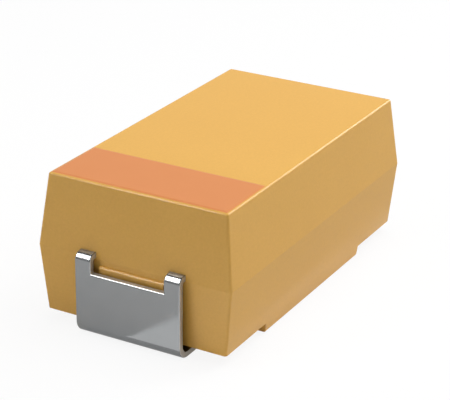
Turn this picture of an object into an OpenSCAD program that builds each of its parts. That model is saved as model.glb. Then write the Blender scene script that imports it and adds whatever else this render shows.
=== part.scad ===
// Moulded tantalum chip capacitor, case code 7343-31, with everything the case holds.
// Frame: origin on the seating plane below the middle of the body. X runs along the
// length, from the striped anode end (-X) to the cathode end (+X). Y runs across, Z up.
// Distances along the length are given as u, measured outward from the middle, so one
// fold profile serves both ends.

/* [Case] */
// Length of the case at the parting line
case_l = 7.15; // [7.05:0.01:7.2]
// Width of the case at the parting line
case_w = 4.12; // [4.0:0.02:4.6]
// Height of the parting line above the seating plane
parting_z = 1.55; // [1.5:0.01:1.6]
// Height of the upper half above the parting line
upper_h = 1.43; // [1.35:0.01:1.55]
// Draft of the long sides above the parting line, in degrees
upper_side_draft = 6.6; // [2:0.1:7]
// Draft of the ends above the parting line, in degrees
upper_end_draft = 6; // [2:0.1:8]
// Draft of the long sides below the parting line, in degrees
lower_side_draft = 5.4; // [2:0.1:6]
// Draft of the ends below the parting line, in degrees
lower_end_draft = 3; // [1:0.1:4]
// Radius on the moulded edges
edge_r = 0.05; // [0.02:0.01:0.08]

/* [Underside] */
// Gap between the middle pad and the seating plane
pad_lift = 0.02; // [0.005:0.005:0.06]
// Length of the middle pad where it leaves the recesses
pad_l = 4.0; // [3.6:0.1:4.4]
// Draft of the pad's end walls, in degrees
pad_draft = 10; // [0:1:15]
// Height of the recess ceilings above the seating plane
recess_z = 0.225; // [0.2:0.005:0.26]

/* [Backing ledge between the legs] */
// Width of the ledge on each end face
ledge_w = 1.38; // [1.0:0.02:1.44]
// Drop from the parting line to the top of the ledge
ledge_drop = 0.125; // [0.08:0.005:0.2]
// How far the ledge stands out from the parting edge
ledge_out = 0.05; // [0.03:0.005:0.055]

/* [Lead frame] */
// Thickness of the plated strip
strip_t = 0.125; // [0.1:0.005:0.13]
// Length over both terminals
overall_l = 7.54; // [7.52:0.01:7.6]
// Width of the terminals
terminal_w = 2.25; // [2.2:0.05:2.6]
// Width of the cut-out between the two legs
notch_w = 1.56; // [1.5:0.02:1.64]
// Drop from the parting line to the floor of the cut-out
notch_drop = 0.24; // [0.21:0.01:0.5]
// Outer radius of the bend at the top of the legs
top_bend_r = 0.16; // [0.15:0.01:0.19]
// Outer radius of the bend into the solder foot
foot_bend_r = 0.28; // [0.2:0.01:0.32]
// Length of the solder foot, measured from the plate's face
foot_l = 1.3; // [1.0:0.05:1.6]

/* [Anode body] */
// Length of the sintered pellet
pellet_l = 4.54; // [4.0:0.02:4.6]
// Width of the sintered pellet
pellet_w = 2.98; // [2.4:0.02:3.0]
// Height of the sintered pellet
pellet_h = 1.54; // [1.2:0.02:1.6]
// Radius on the pellet's long edges
pellet_r = 0.1; // [0.05:0.01:0.2]
// Height of the pellet's axis above the seating plane
pellet_z = 1.6; // [1.58:0.01:1.64]
// Diameter of the riser wire
wire_d = 0.4; // [0.3:0.02:0.5]
// Outer diameter of the washer on the wire
washer_d = 1.0; // [0.8:0.05:1.2]

/* [Layers] */
// Thickness of the solid electrolyte
dioxide_t = 0.05; // [0.03:0.01:0.06]
// Thickness of the graphite
graphite_t = 0.03; // [0.02:0.01:0.04]
// Thickness of the silver paint
silver_t = 0.03; // [0.02:0.01:0.04]
// Thickness of the conductive adhesive
adhesive_t = 0.05; // [0.03:0.01:0.08]

/* [Polarity stripe] */
// Distance from the middle of the case to the stripe's inner edge
stripe_u = 1.96; // [1.5:0.02:2.6]
// Thickness of the ink
ink_t = 0.012; // [0.008:0.001:0.02]

/* [Hidden] */

past = 1;            // how far a cutting tool runs past what it cuts
line_h = 0.002;      // height of the parting line's straight witness band
hull_fn = 32;        // facets on the shapes inside the case's hull
round_fn = 96;       // facets on every true round
bend_step = 6;       // degrees of arc to each facet of a bend

lower_h = parting_z - pad_lift;
ledge_root = 0.3;                   // how deep the ledge's own solid reaches into the case
plate_u = overall_l / 2;            // outer face of the terminal plates
strip_mid_z = parting_z + strip_t / 2;
window_u = 3.36;                    // inner end of the cut-out, inside the case wall

// The anode body, from its wire end (front) to its far end (back), along X
pellet_front_x = -1.85;
pellet_back_x = pellet_front_x + pellet_l;
dioxide_front_x = pellet_front_x - dioxide_t;
dioxide_back_x = pellet_back_x + dioxide_t;
graphite_back_x = dioxide_back_x + graphite_t;
silver_back_x = graphite_back_x + silver_t;
graphite_bare_l = 0.15;                      // electrolyte left bare at the wire end
silver_bare_l = 0.35;                        // and how far back the silver starts
graphite_front_x = dioxide_front_x + graphite_bare_l;
silver_front_x = dioxide_front_x + silver_bare_l;
washer_t = 0.15;
wire_bare_l = 1.0;                           // riser wire outside the pellet
wire_sunk_l = 0.9;                           // riser wire sintered into the pellet

// Growth of the section from the pellet's own to the outside of each layer
dioxide_grow = dioxide_t;
graphite_grow = dioxide_grow + graphite_t;
silver_grow = graphite_grow + silver_t;
coated_bottom_z = pellet_z - pellet_h / 2 - silver_grow;

// The anode strip's weld tab, set down so that the wire lies on it
tab_w = 1.3;
tab_u = 2.12;
tab_mid_z = pellet_z - wire_d / 2 - strip_t / 2;
set_down_u = 2.92;
set_down_run = strip_mid_z - tab_mid_z;      // the set-down slopes at 45 degrees
shoulder_u = 3.0;

// The cathode strip, inside: down behind the pellet, then forward under it
cradle_mid_x = silver_back_x + adhesive_t + strip_t / 2;
cradle_mid_z = coated_bottom_z - adhesive_t - strip_t / 2;
cradle_front_x = 0.4;
glue_front_x = 0.5;
glue_top_z = 1.5;
glue_w = 2.1;

inner_bend_r = 0.05;                         // inside radius of the bends in the case

// ---- folded strip -------------------------------------------------------------------

function unit(v) = v / norm(v);
function left_of(v) = [-v.y, v.x];
function heading(path, i) = unit(path[i + 1] - path[i]);
function turn(path, i) = acos(heading(path, i - 1) * heading(path, i));
function is_left(path, i) = left_of(heading(path, i - 1)) * heading(path, i) > 0 ? 1 : -1;

// Length that the bend at corner i takes off each of its two straights
function setback(path, bend_r, i) =
    i == 0 || i == len(path) - 1 ? 0 : (bend_r[i] + strip_t / 2) * tan(turn(path, i) / 2);

// Arc that one edge of the strip follows round corner i. side is 1 for the edge on the
// left of the path and -1 for the edge on its right.
function bend_points(path, bend_r, i, side) =
    let (
        into = heading(path, i - 1),
        hand = is_left(path, i),
        mid_r = bend_r[i] + strip_t / 2,
        centre = path[i] - setback(path, bend_r, i) * into + hand * mid_r * left_of(into),
        edge_arc_r = mid_r - hand * side * strip_t / 2,
        steps = ceil(turn(path, i) / bend_step)
    ) [for (k = [0 : steps])
        let (a = atan2(into.y, into.x) + hand * turn(path, i) * k / steps)
            centre - hand * edge_arc_r * left_of([cos(a), sin(a)])];

function edge_points(path, bend_r, side) =
    let (last = len(path) - 1, offset = side * strip_t / 2)
        concat([path[0] + offset * left_of(heading(path, 0))],
               [for (i = [1 : last - 1]) each bend_points(path, bend_r, i, side)],
               [path[last] + offset * left_of(heading(path, last - 1))]);

// Edge-on outline of a strip folded along the corners of path, which follow its middle
// plane. bend_r holds the inside radius at each corner, and its two ends aren't used.
module folded_profile(path, bend_r) {
    right = edge_points(path, bend_r, -1);
    polygon(concat(edge_points(path, bend_r, 1),
                   [for (i = [len(right) - 1 : -1 : 0]) right[i]]));
}

// Draws a profile of (u, z) as a plate of the given width, standing across the part
module across(width) {
    rotate([90, 0, 0]) linear_extrude(height = width, center = true) children();
}

// ---- lead frame ---------------------------------------------------------------------

top_in_r = top_bend_r - strip_t;
foot_in_r = foot_bend_r - strip_t;
plate_mid_u = plate_u - strip_t / 2;

// Corners shared by both ends: out over the case wall, down the plate, in along the foot
outside_path = [[plate_mid_u, strip_mid_z], [plate_mid_u, strip_t / 2],
                [plate_u - foot_l, strip_t / 2]];
outside_r = [top_in_r, foot_in_r, 0];

// Cut-out between the legs, from inside the case wall over the bend to its floor
module leg_cutout() {
    floor_z = parting_z - notch_drop;
    translate([window_u, -notch_w / 2, floor_z])
        cube([plate_u - window_u + past, notch_w, parting_z + strip_t - floor_z + past]);
}

module anode_strip() {
    mirror([1, 0, 0]) difference() {
        across(terminal_w)
            folded_profile(
                concat([[tab_u, tab_mid_z], [set_down_u, tab_mid_z],
                        [set_down_u + set_down_run, strip_mid_z]], outside_path),
                concat([0, inner_bend_r, inner_bend_r], outside_r));
        leg_cutout();
        for (side = [-1, 1])
            translate([tab_u - past, side > 0 ? tab_w / 2 : -tab_w / 2 - past,
                       tab_mid_z - strip_t])
                cube([shoulder_u - tab_u + past, past, set_down_run + 2 * strip_t]);
    }
}

module cathode_strip() {
    difference() {
        across(terminal_w)
            folded_profile(
                concat([[cradle_front_x, cradle_mid_z], [cradle_mid_x, cradle_mid_z],
                        [cradle_mid_x, strip_mid_z]], outside_path),
                concat([0, inner_bend_r, inner_bend_r], outside_r));
        leg_cutout();
    }
}

module anode_terminal() { color("silver") anode_strip(); }
module cathode_terminal() { color("silver") cathode_strip(); }

// ---- anode body ---------------------------------------------------------------------

// Bar along X with the pellet's section grown by grow on every side
module body_bar(from_x, to_x, grow) {
    w = pellet_w + 2 * grow;
    h = pellet_h + 2 * grow;
    r = pellet_r + grow;
    translate([from_x, 0, pellet_z]) rotate([90, 0, 90])
        linear_extrude(height = to_x - from_x) {
            square([w - 2 * r, h], center = true);
            square([w, h - 2 * r], center = true);
            for (y = [-1, 1], z = [-1, 1])
                translate([y * (w / 2 - r), z * (h / 2 - r)]) circle(r, $fn = round_fn);
        }
}

// Round bar on the wire's axis
module wire_bar(from_x, to_x, d) {
    translate([from_x, 0, pellet_z]) rotate([0, 90, 0])
        cylinder(d = d, h = to_x - from_x, $fn = round_fn);
}

module wire_solid() {
    wire_bar(pellet_front_x - wire_bare_l, pellet_front_x + wire_sunk_l, wire_d);
}

module washer_disc() { wire_bar(pellet_front_x - washer_t, pellet_front_x, washer_d); }

module tantalum_pellet() {
    color("dimgray") difference() {
        body_bar(pellet_front_x, pellet_back_x, 0);
        wire_solid();
    }
}

module tantalum_wire() { color("lightslategray") wire_solid(); }

module wire_washer() {
    color("white") difference() {
        washer_disc();
        wire_solid();
    }
}

module manganese_dioxide_coat() {
    color("black") difference() {
        body_bar(dioxide_front_x, dioxide_back_x, dioxide_grow);
        body_bar(pellet_front_x, pellet_back_x, 0);
        washer_disc();
    }
}

module graphite_coat() {
    color("#303030") difference() {
        body_bar(graphite_front_x, graphite_back_x, graphite_grow);
        body_bar(graphite_front_x - past, dioxide_back_x, dioxide_grow);
    }
}

module silver_coat() {
    color("lightgray") difference() {
        body_bar(silver_front_x, silver_back_x, silver_grow);
        body_bar(silver_front_x - past, graphite_back_x, graphite_grow);
    }
}

// Conductive glue: a pad under the silver coat and one up its back, in one bead
module glue_bead() {
    corner_x = silver_back_x + adhesive_t;
    under_z = coated_bottom_z - adhesive_t;
    difference() {
        translate([glue_front_x, -glue_w / 2, under_z])
            cube([corner_x - glue_front_x, glue_w, glue_top_z - under_z]);
        body_bar(glue_front_x - past, silver_back_x, silver_grow);
        translate([glue_front_x - past, -glue_w, coated_bottom_z])
            cube([silver_back_x - glue_front_x + past, 2 * glue_w, glue_top_z]);
        cathode_strip();
    }
}

module silver_adhesive() { color("gainsboro") glue_bead(); }

// ---- case ---------------------------------------------------------------------------

// Rounded corners of one half's far face: balls that the drafted walls run tangent to
module far_corners(h, side_draft, end_draft) {
    ball_z = h - edge_r;
    ball_x = case_l / 2 - ball_z * tan(end_draft) - edge_r / cos(end_draft);
    ball_y = case_w / 2 - ball_z * tan(side_draft) - edge_r / cos(side_draft);
    for (x = [-1, 1], y = [-1, 1])
        translate([x * ball_x, y * ball_y, ball_z]) sphere(edge_r, $fn = hull_fn);
}

// Both drafted halves, meeting in a crease round the parting line
module drafted_body() {
    translate([0, 0, parting_z]) hull() {
        for (x = [-1, 1], y = [-1, 1])
            translate([x * (case_l / 2 - edge_r), y * (case_w / 2 - edge_r), 0])
                cylinder(r = edge_r, h = line_h, center = true, $fn = hull_fn);
        far_corners(upper_h, upper_side_draft, upper_end_draft);
        mirror([0, 0, 1]) far_corners(lower_h, lower_side_draft, lower_end_draft);
    }
}

// Recess under one end, with the pad's drafted end wall on its inner side
module end_recess() {
    wall_run = (recess_z + past) * tan(pad_draft);
    across(case_w + 2 * past)
        polygon([[pad_l / 2, recess_z], [pad_l / 2 - wall_run, -past],
                 [case_l / 2 + past, -past], [case_l / 2 + past, recess_z]]);
}

// Ledge that backs the terminal plate, with a rounded top edge showing in the cut-out
module backing_ledge() {
    root_u = case_l / 2 - ledge_root;
    front_u = case_l / 2 + ledge_out;
    top_z = parting_z - ledge_drop;
    across(ledge_w) {
        translate([root_u, recess_z]) square([front_u - root_u, top_z - edge_r - recess_z]);
        translate([root_u, recess_z]) square([front_u - edge_r - root_u, top_z - recess_z]);
        translate([front_u - edge_r, top_z - edge_r]) circle(edge_r, $fn = round_fn);
    }
}

module mould_case() {
    color("goldenrod") difference() {
        union() {
            difference() {
                drafted_body();
                end_recess();
                mirror([1, 0, 0]) end_recess();
            }
            backing_ledge();
            mirror([1, 0, 0]) backing_ledge();
        }
        anode_strip();
        cathode_strip();
        wire_solid();
        washer_disc();
        body_bar(dioxide_front_x, dioxide_back_x, dioxide_grow);
        body_bar(graphite_front_x, graphite_back_x, graphite_grow);
        body_bar(silver_front_x, silver_back_x, silver_grow);
        glue_bead();
    }
}

// Ink band on the flat of the top face, from its anode edge inward
module polarity_stripe() {
    edge_run = edge_r * tan(45 - upper_end_draft / 2);
    side_run = edge_r * tan(45 - upper_side_draft / 2);
    end_u = case_l / 2 - upper_h * tan(upper_end_draft) - edge_run;
    half_w = case_w / 2 - upper_h * tan(upper_side_draft) - side_run;
    color("peru") translate([-end_u, -half_w, parting_z + upper_h])
        cube([end_u - stripe_u, 2 * half_w, ink_t]);
}

mould_case();
polarity_stripe();
anode_terminal();
cathode_terminal();
tantalum_pellet();
tantalum_wire();
wire_washer();
manganese_dioxide_coat();
graphite_coat();
silver_coat();
silver_adhesive();
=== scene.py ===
from math import pi, radians

import bmesh
import bpy
from mathutils import Matrix, Vector


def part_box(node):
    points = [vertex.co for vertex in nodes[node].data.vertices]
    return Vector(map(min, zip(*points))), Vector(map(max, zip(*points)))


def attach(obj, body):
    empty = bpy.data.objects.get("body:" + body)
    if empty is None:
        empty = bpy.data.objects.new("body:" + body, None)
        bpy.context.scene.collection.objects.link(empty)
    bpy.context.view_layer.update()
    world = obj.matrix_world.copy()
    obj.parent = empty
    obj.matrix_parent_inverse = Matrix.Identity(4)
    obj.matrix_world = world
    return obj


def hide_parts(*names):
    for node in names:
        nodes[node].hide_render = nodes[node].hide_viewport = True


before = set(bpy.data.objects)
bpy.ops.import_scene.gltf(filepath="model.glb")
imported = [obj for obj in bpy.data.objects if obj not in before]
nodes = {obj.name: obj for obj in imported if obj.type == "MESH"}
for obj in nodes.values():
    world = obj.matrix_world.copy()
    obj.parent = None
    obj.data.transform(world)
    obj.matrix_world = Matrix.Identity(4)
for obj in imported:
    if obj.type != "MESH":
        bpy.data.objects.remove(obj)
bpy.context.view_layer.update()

# ---- camera -------------------------------------------------------------------------
# A long lens looks down on the striped end and the near side from about 34 mm away,
# which is close, as the part is under 8 mm long.
mm = 0.001
camera = bpy.data.objects.new("camera", bpy.data.cameras.new("camera"))
camera.data.sensor_width = 36
camera.data.lens = 136.16
camera.data.clip_start = 1 * mm
camera.matrix_world = (Matrix.Translation(Vector((-27.035, -15.039, 14.9)) * mm)
                       @ Matrix.Rotation(radians(-60.778), 4, "Z")
                       @ Matrix.Rotation(radians(66.687), 4, "X")
                       @ Matrix.Rotation(radians(0.621), 4, "Z"))
bpy.context.scene.collection.objects.link(camera)
bpy.context.scene.camera = camera
bpy.context.scene.view_settings.view_transform = "Standard"

# ---- studio -------------------------------------------------------------------------
# A white sweep under the part, which the camera sees close to white and which keeps
# the part's shadow. Four softboxes light the part, two rim lamps add only highlights,
# and the cards show only in gloss. The two cards on the floor are painted light and
# painted shade on the floor, for gloss only.


def linear(hex_colour):
    """sRGB hex colour as linear red, green, blue and full alpha."""
    parts = [int(hex_colour[i:i + 2], 16) / 255 for i in (1, 3, 5)]
    return [c / 12.92 if c <= 0.04045 else ((c + 0.055) / 1.055) ** 2.4 for c in parts] + [1]


def add_node(tree, kind, inputs=None, **settings):
    """Adds a node with its settings; an input is a value, a socket, or a node's first output."""
    node = tree.nodes.new(kind)
    for name, value in settings.items():
        setattr(node, name, value)
    for name, value in (inputs or {}).items():
        if isinstance(value, bpy.types.Node):
            value = value.outputs[0]
        if isinstance(value, bpy.types.NodeSocket):
            tree.links.new(value, node.inputs[name])
        else:
            node.inputs[name].default_value = value
    return node


def empty_tree(owner):
    """Node tree of a material or world, cleared."""
    owner.use_nodes = True
    owner.node_tree.nodes.clear()
    return owner.node_tree


def seen_directly(tree, glossy_share):
    """How much of the bright backdrop a ray sees: all for camera rays, a share for glossy."""
    path = add_node(tree, "ShaderNodeLightPath")
    shine = add_node(tree, "ShaderNodeMath", {0: path.outputs["Is Glossy Ray"], 1: glossy_share},
                     operation="MULTIPLY")
    clear = add_node(tree, "ShaderNodeMath", {0: path.outputs["Is Camera Ray"],
                                              1: path.outputs["Is Transmission Ray"]},
                     operation="MAXIMUM")
    return add_node(tree, "ShaderNodeMath", {0: shine.outputs[0], 1: clear.outputs[0]},
                    operation="MAXIMUM").outputs[0]


world = bpy.data.worlds.new("studio")
bpy.context.scene.world = world
tree = empty_tree(world)
fill = add_node(tree, "ShaderNodeBackground", {"Color": linear("#ffffff"), "Strength": 0.03})
white = add_node(tree, "ShaderNodeBackground", {"Color": linear("#ffffff"), "Strength": 1})
sky = add_node(tree, "ShaderNodeMixShader", {0: seen_directly(tree, 1), 1: fill.outputs[0],
                                             2: white.outputs[0]})
add_node(tree, "ShaderNodeOutputWorld", {"Surface": sky.outputs[0]})

sweep = bpy.data.materials.new("white_sweep")
tree = empty_tree(sweep)
paper = add_node(tree, "ShaderNodeBsdfDiffuse", {"Color": linear("#f2f2f2")})
glow = add_node(tree, "ShaderNodeEmission", {"Color": linear("#ffffff"), "Strength": 1})
share = add_node(tree, "ShaderNodeMath", {0: seen_directly(tree, 0.4), 1: 0.9}, operation="MULTIPLY")
floor_mix = add_node(tree, "ShaderNodeMixShader", {0: share.outputs[0], 1: paper.outputs[0],
                                                   2: glow.outputs[0]})
add_node(tree, "ShaderNodeOutputMaterial", {"Surface": floor_mix.outputs[0]})

floor_r = 400 * mm
floor_mesh = bpy.data.meshes.new("floor")
bm = bmesh.new()
bmesh.ops.create_circle(bm, cap_ends=True, segments=96, radius=floor_r)
bm.to_mesh(floor_mesh)
bm.free()
floor_mesh.materials.append(sweep)
floor = bpy.data.objects.new("floor", floor_mesh)
bpy.context.scene.collection.objects.link(floor)


lamp_distance = 60 * mm
lamp_aim = Vector((0, 0, 1.5 * mm))


def softbox(name, toward, long_side, size, radiance, in_gloss=True, in_diffuse=True):
    """Lamp that faces the part's middle; size is (short, long) in mm."""
    lamp = bpy.data.lights.new(name, "AREA")
    lamp.shape = "RECTANGLE"
    lamp.size = size[0] * mm
    lamp.size_y = size[1] * mm
    lamp.energy = radiance * pi * lamp.size * lamp.size_y
    back = Vector(toward).normalized()
    side = Vector(long_side).cross(back).normalized()
    turn = Matrix((side, back.cross(side), back)).transposed().to_4x4()
    box = bpy.data.objects.new(name, lamp)
    box.matrix_world = Matrix.Translation(back * lamp_distance + lamp_aim) @ turn
    box.visible_glossy = in_gloss
    box.visible_diffuse = in_diffuse
    bpy.context.scene.collection.objects.link(box)


softbox("left_softbox", (-0.57, 0.448, 0.69), (0.77, 0, 0.636), (7, 52), 5.6, in_gloss=False)
softbox("left_rim", (-0.55, 0.468, 0.69), (0.77, 0, 0.636), (7, 50), 16.0, in_diffuse=False)
softbox("right_rim", (0.80, -0.40, 0.45), (0.80, 0.60, 0), (18, 34), 10.0, in_diffuse=False)
softbox("top_softbox", (0.1, -0.1, 1), (1, 0, 0), (45, 45), 4.9, in_gloss=False)
softbox("side_softbox", (0.72, -0.6, 0.8), (1, 0, 0), (24, 30), 7.2, in_gloss=False)
softbox("end_softbox", (-0.8, 0.6, 0.15), (0, 0, 1), (30, 30), 1.0, in_gloss=False)


ring_step = 6


def ring(radius, height):
    """Corners of a level circle round the part, in mm."""
    start = Vector((radius, 0, height))
    return [Matrix.Rotation(radians(turn), 4, "Z") @ start for turn in range(0, 360, ring_step)]


def card(name, tone, rows, strength=1, wrapped=True, closed=False):
    """Studio card that only gloss can see: joins rows of corners, in mm."""
    made = bpy.data.materials.new(name)
    tree = empty_tree(made)
    face = add_node(tree, "ShaderNodeEmission", {"Color": linear(tone), "Strength": strength})
    add_node(tree, "ShaderNodeOutputMaterial", {"Surface": face})
    mesh = bpy.data.meshes.new(name)
    bm = bmesh.new()
    grid = [[bm.verts.new(Vector(corner) * mm) for corner in row] for row in rows]
    for inner, outer in zip(grid, grid[1:]):
        for i in range(0 if wrapped else 1, len(inner)):
            bm.faces.new((inner[i - 1], inner[i], outer[i], outer[i - 1]))
    if closed:
        bm.faces.new(grid[0])
    bm.to_mesh(mesh)
    bm.free()
    mesh.materials.append(made)
    panel = bpy.data.objects.new(name, mesh)
    for ray in ("camera", "diffuse", "transmission", "shadow", "volume_scatter"):
        setattr(panel, "visible_" + ray, False)
    bpy.context.scene.collection.objects.link(panel)


card("studio_walls", "#bcbcbc", [ring(120, 0.5), ring(120, 84)])
card("overhead_flag", "#616161", [ring(32, 64), ring(60, 64)], closed=True)
off_floor = 0.02
painted_light_x = (-3.95, -8)
painted_light_edge_y = (0.2, -1.14)
painted_light_side_y = -2.5
# A card that glows brighter than the sweep, seen only in gloss: a painted patch of light on the floor off
# the striped end, with one straight edge where the painted light stops.
card("painted_floor_light", "#ffffff",
     [[(x, y, off_floor) for x, y in zip(painted_light_x, painted_light_edge_y)],
      [(x, painted_light_side_y, off_floor) for x in painted_light_x]], strength=1.3, wrapped=False)
# A grey card on the floor along the near side, seen only in gloss: painted shade on the floor, darker than
# the sweep there.
painted_shade_x = (-3.2, 24)
painted_shade_y = (-2.3, -24)
card("painted_floor_shade", "#bcbcbc", [[(x, y, off_floor) for x in painted_shade_x] for y in painted_shade_y], wrapped=False)

# ---- moulded case -------------------------------------------------------------------
# Transfer-moulded epoxy filled with fused silica, tinted gold. Lapped steel leaves it
# satin smooth under a thin skin rich in resin, which gives the sharper part of its
# shine, and the filler gives it a faint cloudiness.


def new_material(name):
    """Named material with an empty tree."""
    made = bpy.data.materials.new(name)
    return made, empty_tree(made)


def dress(piece, made):
    """Gives every face of a CAD node one material."""
    piece.data.materials.clear()
    piece.data.materials.append(made)


cloud_mm = 1.6
filler_mm = 0.045
filler_relief_mm = 0.002
mix_a = 6
mix_b = 7
mixed = 2
epoxy, tree = new_material("moulded_epoxy")
place = add_node(tree, "ShaderNodeTexCoord").outputs["Object"]
cloud = add_node(tree, "ShaderNodeTexNoise", {"Vector": place, "Scale": 1 / (cloud_mm * mm), "Detail": 3})
grain = add_node(tree, "ShaderNodeTexNoise", {"Vector": place, "Scale": 1 / (filler_mm * mm), "Detail": 2})
tint = add_node(tree, "ShaderNodeMix", {"Factor": cloud.outputs["Fac"], mix_a: linear("#e4af52"),
                                        mix_b: linear("#e8b458")}, data_type="RGBA")
speck = add_node(tree, "ShaderNodeMix", {"Factor": grain.outputs["Fac"], mix_a: linear("#f2f0ec"),
                                         mix_b: linear("#ffffff")}, data_type="RGBA")
tone = add_node(tree, "ShaderNodeMix", {"Factor": 1, mix_a: tint.outputs[mixed],
                                        mix_b: speck.outputs[mixed]},
                data_type="RGBA", blend_type="MULTIPLY")
sheen = add_node(tree, "ShaderNodeMapRange", {"Value": cloud.outputs["Fac"], "To Min": 0.34, "To Max": 0.4})
relief = add_node(tree, "ShaderNodeBump", {"Height": grain.outputs["Fac"], "Strength": 0.05,
                                           "Distance": filler_relief_mm * mm})
skin = add_node(tree, "ShaderNodeBsdfPrincipled", {
    "Base Color": tone.outputs[mixed], "Roughness": sheen.outputs[0], "IOR": 1.5,
    "Specular IOR Level": 0.2, "Coat Weight": 0.25, "Coat Roughness": 0.12, "Coat IOR": 1.5,
    "Normal": relief.outputs[0]})
add_node(tree, "ShaderNodeOutputMaterial", {"Surface": skin.outputs[0]})
dress(nodes["mould_case"], epoxy)

# ---- polarity stripe ----------------------------------------------------------------
# Band of heat-cured pad-printing ink across the anode end. It lies on the case as a
# film that thins out at its edges, a little more matt than the epoxy round it.
film_mm = 0.5
ink, tree = new_material("stripe_ink")
place = add_node(tree, "ShaderNodeTexCoord").outputs["Object"]
film = add_node(tree, "ShaderNodeTexNoise", {"Vector": place, "Scale": 1 / (film_mm * mm), "Detail": 4})
tone = add_node(tree, "ShaderNodeMix", {"Factor": film.outputs["Fac"], mix_a: linear("#d5854a"),
                                        mix_b: linear("#d8894e")}, data_type="RGBA")
skin = add_node(tree, "ShaderNodeBsdfPrincipled", {
    "Base Color": tone.outputs[mixed], "Roughness": 0.36, "IOR": 1.5})
add_node(tree, "ShaderNodeOutputMaterial", {"Surface": skin.outputs[0]})

low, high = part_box("polarity_stripe")
feather = 0.05 * mm
bm = bmesh.new()
rims = []
for inset, z in ((0, low.z), (feather, high.z)):
    rims.append([bm.verts.new((x, y, z)) for x, y in (
        (low.x + inset, low.y + inset), (high.x - inset, low.y + inset),
        (high.x - inset, high.y - inset), (low.x + inset, high.y - inset))])
for i in range(4):
    bm.faces.new((rims[0][i - 1], rims[0][i], rims[1][i], rims[1][i - 1]))
for rim in rims:
    bm.faces.new(rim)
bmesh.ops.recalc_face_normals(bm, faces=bm.faces)
ink_mesh = bpy.data.meshes.new("stripe_film")
bm.to_mesh(ink_mesh)
bm.free()
ink_mesh.materials.append(ink)
stripe = bpy.data.objects.new("stripe_film", ink_mesh)
bpy.context.scene.collection.objects.link(stripe)
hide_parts("polarity_stripe")
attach(stripe, "root")

# ---- lead-frame terminals -----------------------------------------------------------
# Rolled nickel-iron strip, plated with tin, then stamped and folded round the case, so
# its cut edges are bare, paler and more matt. One tree sweeps a fold path over the
# strip's width, opens the cut-out between the legs, and thickens the sheet.
mottle_mm = 0.35
pit_mm = 0.03
pit_relief_mm = 0.001
drag_mm = 0.03
plated, tree = new_material("tinned_strip")
place = add_node(tree, "ShaderNodeTexCoord").outputs["Object"]
mottle = add_node(tree, "ShaderNodeTexNoise", {"Vector": place, "Scale": 1 / (mottle_mm * mm), "Detail": 4})
pits = add_node(tree, "ShaderNodeTexNoise", {"Vector": place, "Scale": 1 / (pit_mm * mm), "Detail": 2})
tone = add_node(tree, "ShaderNodeMix", {"Factor": mottle.outputs["Fac"], mix_a: linear("#8a8c8d"),
                                        mix_b: linear("#929495")}, data_type="RGBA")
gloss = add_node(tree, "ShaderNodeMapRange", {"Value": mottle.outputs["Fac"],
                                              "To Min": 0.13, "To Max": 0.19})
relief = add_node(tree, "ShaderNodeBump", {"Height": pits.outputs["Fac"], "Strength": 0.1,
                                           "Distance": pit_relief_mm * mm})
skin = add_node(tree, "ShaderNodeBsdfPrincipled", {
    "Base Color": tone.outputs[mixed], "Metallic": 1, "Roughness": gloss.outputs[0],
    "Normal": relief.outputs[0]})
add_node(tree, "ShaderNodeOutputMaterial", {"Surface": skin.outputs[0]})

cut_metal, tree = new_material("stamped_edge")
place = add_node(tree, "ShaderNodeTexCoord").outputs["Object"]
drag = add_node(tree, "ShaderNodeTexNoise", {"Vector": place, "Scale": 1 / (drag_mm * mm), "Detail": 3})
tone = add_node(tree, "ShaderNodeMix", {"Factor": drag.outputs["Fac"], mix_a: linear("#b4b0a8"),
                                        mix_b: linear("#c8c4bc")}, data_type="RGBA")
skin = add_node(tree, "ShaderNodeBsdfPrincipled", {
    "Base Color": tone.outputs[mixed], "Metallic": 0.6, "Roughness": 0.45})
add_node(tree, "ShaderNodeOutputMaterial", {"Surface": skin.outputs[0]})

bend_steps = 14
weld_gap = 0.0005 * mm
strip_tree = bpy.data.node_groups.new("folded_strip", "GeometryNodeTree")
face = strip_tree.interface
face.new_socket("Fold Path", in_out="INPUT", socket_type="NodeSocketGeometry")
for label in ("Thickness", "Strip Edge", "Cut-out Edge", "Tab Edge", "Shoulder", "Cut-out Start",
              "Cut-out Floor"):
    face.new_socket(label, in_out="INPUT", socket_type="NodeSocketFloat")
for label in ("Plating", "Cut Metal"):
    face.new_socket(label, in_out="INPUT", socket_type="NodeSocketMaterial")
face.new_socket("Strip", in_out="OUTPUT", socket_type="NodeSocketGeometry")
sizes = add_node(strip_tree, "NodeGroupInput").outputs
bend_r = add_node(strip_tree, "GeometryNodeInputRadius")
bent = add_node(strip_tree, "GeometryNodeFilletCurve", {
    "Curve": sizes["Fold Path"], "Count": bend_steps, "Radius": bend_r}, mode="POLY")
sheet = add_node(strip_tree, "GeometryNodeCurveToMesh", {"Curve": bent})
to_side = add_node(strip_tree, "ShaderNodeVectorMath", {
    0: (0, -1, 0), "Scale": sizes["Strip Edge"]}, operation="SCALE")
over_width = add_node(strip_tree, "ShaderNodeCombineXYZ", {"Y": 1})
start = add_node(strip_tree, "GeometryNodeSetPosition", {"Geometry": sheet, "Offset": to_side})
leg_w = add_node(strip_tree, "ShaderNodeMath", {
    0: sizes["Strip Edge"], 1: sizes["Cut-out Edge"]}, operation="SUBTRACT")
side_w = add_node(strip_tree, "ShaderNodeMath", {
    0: sizes["Cut-out Edge"], 1: sizes["Tab Edge"]}, operation="SUBTRACT")
tab_w = add_node(strip_tree, "ShaderNodeMath", {0: sizes["Tab Edge"], 1: 2}, operation="MULTIPLY")
grown = start.outputs[0]
edge = None
for span in (leg_w, side_w, tab_w, side_w, leg_w):
    step = add_node(strip_tree, "GeometryNodeExtrudeMesh", {
        "Mesh": grown, "Offset": over_width, "Offset Scale": span}, mode="EDGES")
    if edge is not None:
        strip_tree.links.new(edge, step.inputs["Selection"])
    grown = step.outputs["Mesh"]
    edge = step.outputs["Top"]

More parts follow.
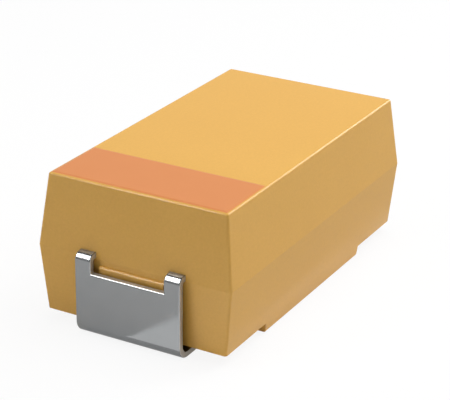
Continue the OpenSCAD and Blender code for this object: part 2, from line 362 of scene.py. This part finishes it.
spot = add_node(strip_tree, "ShaderNodeSeparateXYZ", {
    "Vector": add_node(strip_tree, "GeometryNodeInputPosition")}).outputs
out_u = add_node(strip_tree, "ShaderNodeMath", {0: spot["X"]}, operation="ABSOLUTE")
across = add_node(strip_tree, "ShaderNodeMath", {0: spot["Y"]}, operation="ABSOLUTE")
above = add_node(strip_tree, "ShaderNodeMath", {
    0: spot["Z"], 1: sizes["Cut-out Floor"]}, operation="GREATER_THAN")
between_legs = add_node(strip_tree, "ShaderNodeMath", {
    0: across, 1: sizes["Cut-out Edge"]}, operation="LESS_THAN")
past_start = add_node(strip_tree, "ShaderNodeMath", {
    0: out_u, 1: sizes["Cut-out Start"]}, operation="GREATER_THAN")
in_cut = add_node(strip_tree, "ShaderNodeMath", {0: between_legs, 1: past_start}, operation="MULTIPLY")
off_tab = add_node(strip_tree, "ShaderNodeMath", {
    0: across, 1: sizes["Tab Edge"]}, operation="GREATER_THAN")
past_shoulder = add_node(strip_tree, "ShaderNodeMath", {
    0: out_u, 1: sizes["Shoulder"]}, operation="LESS_THAN")
by_tab = add_node(strip_tree, "ShaderNodeMath", {0: off_tab, 1: past_shoulder}, operation="MULTIPLY")
either = add_node(strip_tree, "ShaderNodeMath", {0: in_cut, 1: by_tab}, operation="MAXIMUM")
waste = add_node(strip_tree, "ShaderNodeMath", {0: either, 1: above}, operation="MULTIPLY")
stamped = add_node(strip_tree, "GeometryNodeDeleteGeometry", {
    "Geometry": grown, "Selection": waste}, domain="FACE")
half_down = add_node(strip_tree, "ShaderNodeMath", {
    0: sizes["Thickness"], 1: -0.5}, operation="MULTIPLY")
down = add_node(strip_tree, "ShaderNodeVectorMath", {
    0: add_node(strip_tree, "GeometryNodeInputNormal"), "Scale": half_down}, operation="SCALE")
under = add_node(strip_tree, "GeometryNodeSetPosition", {"Geometry": stamped, "Offset": down})
raised = add_node(strip_tree, "GeometryNodeExtrudeMesh", {
    "Mesh": under, "Offset Scale": sizes["Thickness"], "Individual": False}, mode="FACES")
back = add_node(strip_tree, "GeometryNodeFlipFaces", {"Mesh": under})
both = add_node(strip_tree, "GeometryNodeJoinGeometry")
for part in (back, raised):
    strip_tree.links.new(part.outputs[0], both.inputs[0])
closed = add_node(strip_tree, "GeometryNodeMergeByDistance", {
    "Geometry": both, "Distance": weld_gap})
real = add_node(strip_tree, "GeometryNodeRealizeInstances", {"Geometry": closed})
coated = add_node(strip_tree, "GeometryNodeSetMaterial", {
    "Geometry": real, "Material": sizes["Plating"]})
sheared = add_node(strip_tree, "GeometryNodeSetMaterial", {
    "Geometry": coated, "Selection": raised.outputs["Side"], "Material": sizes["Cut Metal"]})
add_node(strip_tree, "NodeGroupOutput", {"Strip": sheared})


edge_round = 0.028 * mm
edge_steps = 4
edge_angle = radians(50)


def fold_strip(name, node, path, strip_sizes):
    """Folded terminal in place of its CAD node; path lists (x, z, bend radius) corners."""
    fold = bpy.data.curves.new(name, "CURVE")
    fold.dimensions = "3D"
    line = fold.splines.new("POLY")
    line.points.add(len(path) - 1)
    for point, (x, z, r) in zip(line.points, path):
        point.co = (x, 0, z, 1)
        point.radius = r
    guide = bpy.data.objects.new(name + "_path", fold)
    bpy.context.scene.collection.objects.link(guide)
    folding = guide.modifiers.new("fold", "NODES")
    folding.node_group = strip_tree
    for item in strip_tree.interface.items_tree:
        if item.in_out == "INPUT" and item.name in strip_sizes:
            folding[item.identifier] = strip_sizes[item.name]
    graph = bpy.context.evaluated_depsgraph_get()
    mesh = bpy.data.meshes.new_from_object(guide.evaluated_get(graph))
    bpy.data.objects.remove(guide)
    while mesh.materials[0] is None:
        mesh.materials.pop(index=0)
    bm = bmesh.new()
    bm.from_mesh(mesh)
    bmesh.ops.recalc_face_normals(bm, faces=bm.faces)
    for f in bm.faces:
        f.smooth = True
    bm.to_mesh(mesh)
    bm.free()
    strip = bpy.data.objects.new(name, mesh)
    bpy.context.scene.collection.objects.link(strip)
    burr = strip.modifiers.new("stamped_edge", "BEVEL")
    burr.width = edge_round
    burr.segments = edge_steps
    burr.limit_method = "ANGLE"
    burr.angle_limit = edge_angle
    burr.harden_normals = True
    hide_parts(node)
    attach(strip, "root")
    return strip


strip_t = 0.125 * mm
half_t = strip_t / 2
low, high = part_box("anode_terminal")
plate_u = -low.x
tab_u = -high.x
strip_z = high.z - half_t
top_bend = 0.16 * mm - half_t
foot_bend = 0.28 * mm - half_t
inner_bend = 0.05 * mm + half_t
foot_l = 1.3 * mm
notch_floor = 1.31 * mm
window_u = 3.36 * mm
shoulder_u = 3.0 * mm
set_down_u = 2.92 * mm
tab_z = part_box("tantalum_wire")[0].z - half_t
tab_w = 1.3 * mm
cut_out_w = 1.56 * mm
strip_sizes = {"Thickness": strip_t, "Strip Edge": (high.y - low.y) / 2, "Tab Edge": tab_w / 2,
               "Shoulder": shoulder_u, "Cut-out Edge": cut_out_w / 2, "Cut-out Start": window_u,
               "Cut-out Floor": notch_floor, "Plating": plated, "Cut Metal": cut_metal}
outside = [(window_u, strip_z, 0), (plate_u - half_t, strip_z, top_bend),
           (plate_u - half_t, notch_floor, 0), (plate_u - half_t, half_t, foot_bend),
           (plate_u - foot_l, half_t, 0)]
anode_path = [(tab_u, tab_z, 0), (set_down_u, tab_z, inner_bend),
              (shoulder_u, tab_z + shoulder_u - set_down_u, 0),
              (set_down_u + strip_z - tab_z, strip_z, inner_bend)] + outside
fold_strip("anode_strip", "anode_terminal", [(-u, z, r) for u, z, r in anode_path], strip_sizes)

glue_low, glue_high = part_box("silver_adhesive")
cradle_u = glue_high.x + half_t
cradle_z = glue_low.z - half_t
cathode_path = [(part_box("cathode_terminal")[0].x, cradle_z, 0), (cradle_u, cradle_z, inner_bend),
                (cradle_u, strip_z, inner_bend)] + outside
fold_strip("cathode_strip", "cathode_terminal", cathode_path,
           {**strip_sizes, "Shoulder": 0.0})

# ---- anode body ---------------------------------------------------------------------
# Tantalum powder pressed round a drawn tantalum wire and sintered at white heat: grey,
# dull and full of pores. The washer on the wire is turned PTFE.
pore_mm = 0.05
pore_depth_mm = 0.01
draw_line_mm = 0.02
draw_depth_mm = 0.002
along_wire = (0.03, 1, 1)
wax_cloud_mm = 0.2
metal_sponge, tree = new_material("sintered_tantalum")
place = add_node(tree, "ShaderNodeTexCoord").outputs["Object"]
pore_pits_and_shade = add_node(tree, "ShaderNodeTexVoronoi", {"Vector": place, "Scale": 1 / (pore_mm * mm)})
# The tone is darker toward each pore's middle, where the bump sinks: painted shade in the pores.
tone = add_node(tree, "ShaderNodeMix", {"Factor": pore_pits_and_shade.outputs["Distance"], mix_a: linear("#2f2e31"),
                                        mix_b: linear("#5f5e63")}, data_type="RGBA")
relief = add_node(tree, "ShaderNodeBump", {"Height": pore_pits_and_shade.outputs["Distance"], "Strength": 0.6,
                                           "Distance": pore_depth_mm * mm})
skin = add_node(tree, "ShaderNodeBsdfPrincipled", {
    "Base Color": tone.outputs[mixed], "Metallic": 0.7, "Roughness": 0.7, "Normal": relief.outputs[0]})
add_node(tree, "ShaderNodeOutputMaterial", {"Surface": skin.outputs[0]})
dress(nodes["tantalum_pellet"], metal_sponge)

drawn, tree = new_material("drawn_tantalum")
place = add_node(tree, "ShaderNodeTexCoord").outputs["Object"]
stretch = add_node(tree, "ShaderNodeMapping", {"Vector": place, "Scale": along_wire})
lines = add_node(tree, "ShaderNodeTexNoise", {"Vector": stretch.outputs[0], "Scale": 1 / (draw_line_mm * mm),
                                              "Detail": 3})
tone = add_node(tree, "ShaderNodeMix", {"Factor": lines.outputs["Fac"], mix_a: linear("#74747b"),
                                        mix_b: linear("#8c8c93")}, data_type="RGBA")
relief = add_node(tree, "ShaderNodeBump", {"Height": lines.outputs["Fac"], "Strength": 0.3,
                                           "Distance": draw_depth_mm * mm})
skin = add_node(tree, "ShaderNodeBsdfPrincipled", {
    "Base Color": tone.outputs[mixed], "Metallic": 1, "Roughness": 0.32, "Normal": relief.outputs[0]})
add_node(tree, "ShaderNodeOutputMaterial", {"Surface": skin.outputs[0]})
dress(nodes["tantalum_wire"], drawn)

waxy, tree = new_material("ptfe")
place = add_node(tree, "ShaderNodeTexCoord").outputs["Object"]
cloud = add_node(tree, "ShaderNodeTexNoise", {"Vector": place, "Scale": 1 / (wax_cloud_mm * mm),
                                              "Detail": 3})
tone = add_node(tree, "ShaderNodeMix", {"Factor": cloud.outputs["Fac"], mix_a: linear("#e6e5df"),
                                        mix_b: linear("#f1f0ec")}, data_type="RGBA")
skin = add_node(tree, "ShaderNodeBsdfPrincipled", {
    "Base Color": tone.outputs[mixed], "Roughness": 0.42, "IOR": 1.35})
add_node(tree, "ShaderNodeOutputMaterial", {"Surface": skin.outputs[0]})
dress(nodes["wire_washer"], waxy)

# ---- coats on the anode body --------------------------------------------------------
# Manganese dioxide baked from nitrate, then dipped graphite, then dipped silver paint,
# and a bead of silver-filled glue that holds the silver to the cathode strip.
flake_depth_mm = 0.006
coats = {
    "manganese_dioxide_coat": ("manganese_dioxide", "#1c1a18", "#34302b", 0.06, 0.78, 0.0),
    "graphite_coat": ("graphite", "#2c2c2e", "#48484b", 0.09, 0.55, 0.2),
    "silver_coat": ("silver_paint", "#a39f94", "#c4c1b8", 0.08, 0.46, 0.8),
    "silver_adhesive": ("silver_glue", "#918d84", "#b5b1a7", 0.12, 0.5, 0.75),
}
for node, (slot, dark, pale, flake_mm, roughness, metallic) in coats.items():
    layer, tree = new_material(slot)
    place = add_node(tree, "ShaderNodeTexCoord").outputs["Object"]
    flakes = add_node(tree, "ShaderNodeTexNoise", {"Vector": place, "Scale": 1 / (flake_mm * mm),
                                                   "Detail": 5})
    tone = add_node(tree, "ShaderNodeMix", {"Factor": flakes.outputs["Fac"], mix_a: linear(dark),
                                            mix_b: linear(pale)}, data_type="RGBA")
    relief = add_node(tree, "ShaderNodeBump", {"Height": flakes.outputs["Fac"], "Strength": 0.5,
                                               "Distance": flake_depth_mm * mm})
    skin = add_node(tree, "ShaderNodeBsdfPrincipled", {
        "Base Color": tone.outputs[mixed], "Metallic": metallic, "Roughness": roughness,
        "Normal": relief.outputs[0]})
    add_node(tree, "ShaderNodeOutputMaterial", {"Surface": skin.outputs[0]})
    dress(nodes[node], layer)
